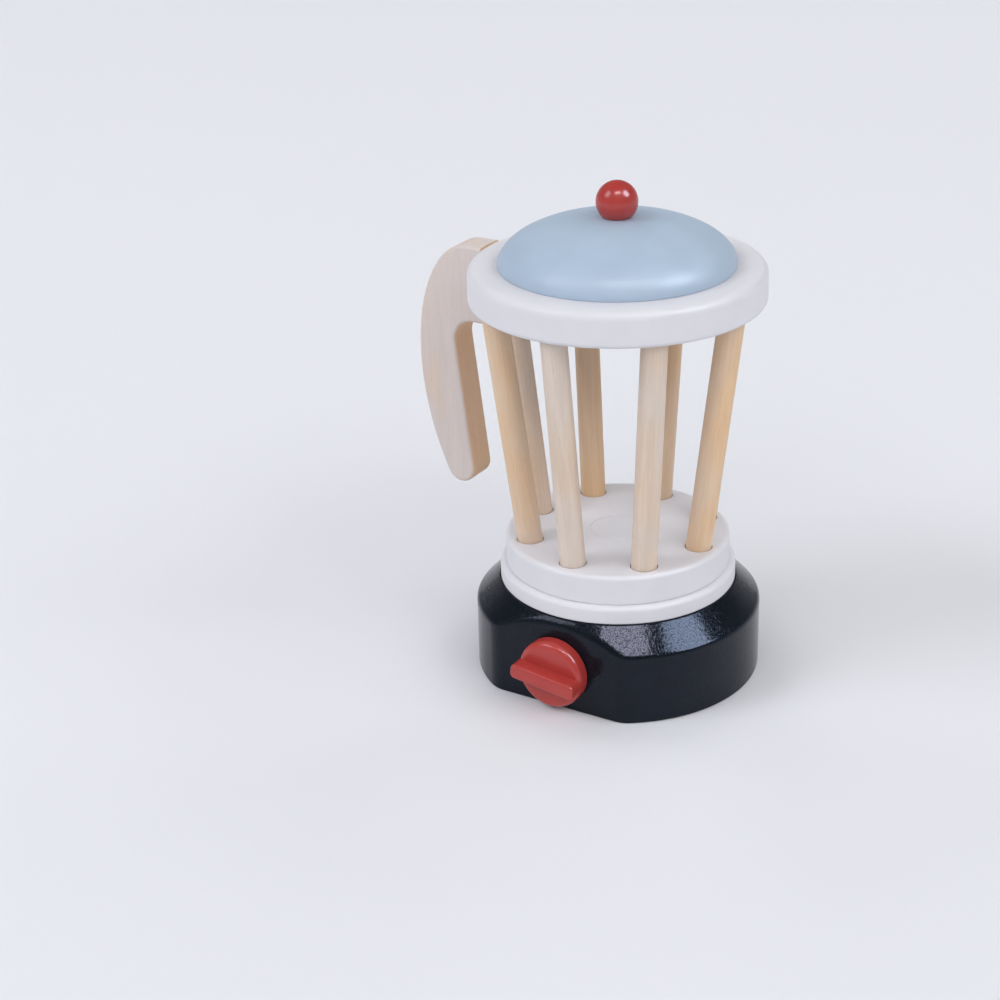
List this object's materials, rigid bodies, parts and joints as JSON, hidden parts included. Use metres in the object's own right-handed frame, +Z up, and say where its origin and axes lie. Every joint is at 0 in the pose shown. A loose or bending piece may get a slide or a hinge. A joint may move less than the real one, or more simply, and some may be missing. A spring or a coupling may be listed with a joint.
{
  "type": "toy blender",
  "caption": "Toy blender with a round base, a knob that turns, a jug of leaning wooden rods with a side handle, and a domed lid with a ball knob.",
  "frame": {"origin": "middle of the underside, on the face that the toy stands on", "axes": "+Z up, the flat with the knob faces -Y, the handle points to -X"},
  "size_m": [0.1571, 0.1294, 0.2171],
  "materials": {
    "white_paint": "satin white paint",
    "blue_paint": "satin pale blue paint",
    "red_paint": "gloss red paint",
    "black_paint": "gloss blue-black paint",
    "pale_wood": "bare fine-grained pale wood",
    "board": "bare fibre board",
    "steel": "zinc plated"
  },
  "bodies": {
    "base": {"base_block": "black_paint", "bottom_cover": "board", "cover_screw_1": "steel", "cover_screw_2": "steel", "cover_screw_3": "steel", "cover_screw_4": "steel", "click_leaf": "steel", "click_leaf_screw": "steel"},
    "knob": {"speed_knob": "red_paint", "knob_axle": "pale_wood", "click_wheel": "board", "axle_washer": "steel", "axle_screw": "steel"},
    "jug": {"jug_collar": "white_paint", "jug_floor": "white_paint", "jug_peg": "white_paint", "collar_screw_1": "steel", "collar_screw_2": "steel", "collar_screw_3": "steel", "jug_rod_1": "pale_wood", "jug_rod_2": "pale_wood", "jug_rod_3": "pale_wood", "jug_rod_4": "pale_wood", "jug_rod_5": "pale_wood", "jug_rod_6": "pale_wood", "jug_rod_7": "pale_wood", "jug_rod_8": "pale_wood", "jug_rim": "white_paint", "handle": "pale_wood", "handle_dowel": "pale_wood"},
    "lid": {"lid_dome": "blue_paint", "lid_plug": "blue_paint", "lid_knob": "red_paint", "lid_knob_pin": "pale_wood"}
  },
  "joints": [
    {"name": "knob_turn", "type": "hinge", "parent": "base", "child": "knob", "pos_m": [0, -0.0537, 0.01817], "axis": [0, -1, 0], "continuous": true},
    {"name": "jug_lift", "type": "slide", "parent": "base", "child": "jug", "axis": [0, 0, 1], "range_m": [0, 0.06]},
    {"name": "lid_lift", "type": "slide", "parent": "jug", "child": "lid", "axis": [0, 0, 1], "range_m": [0, 0.06]}
  ]
}
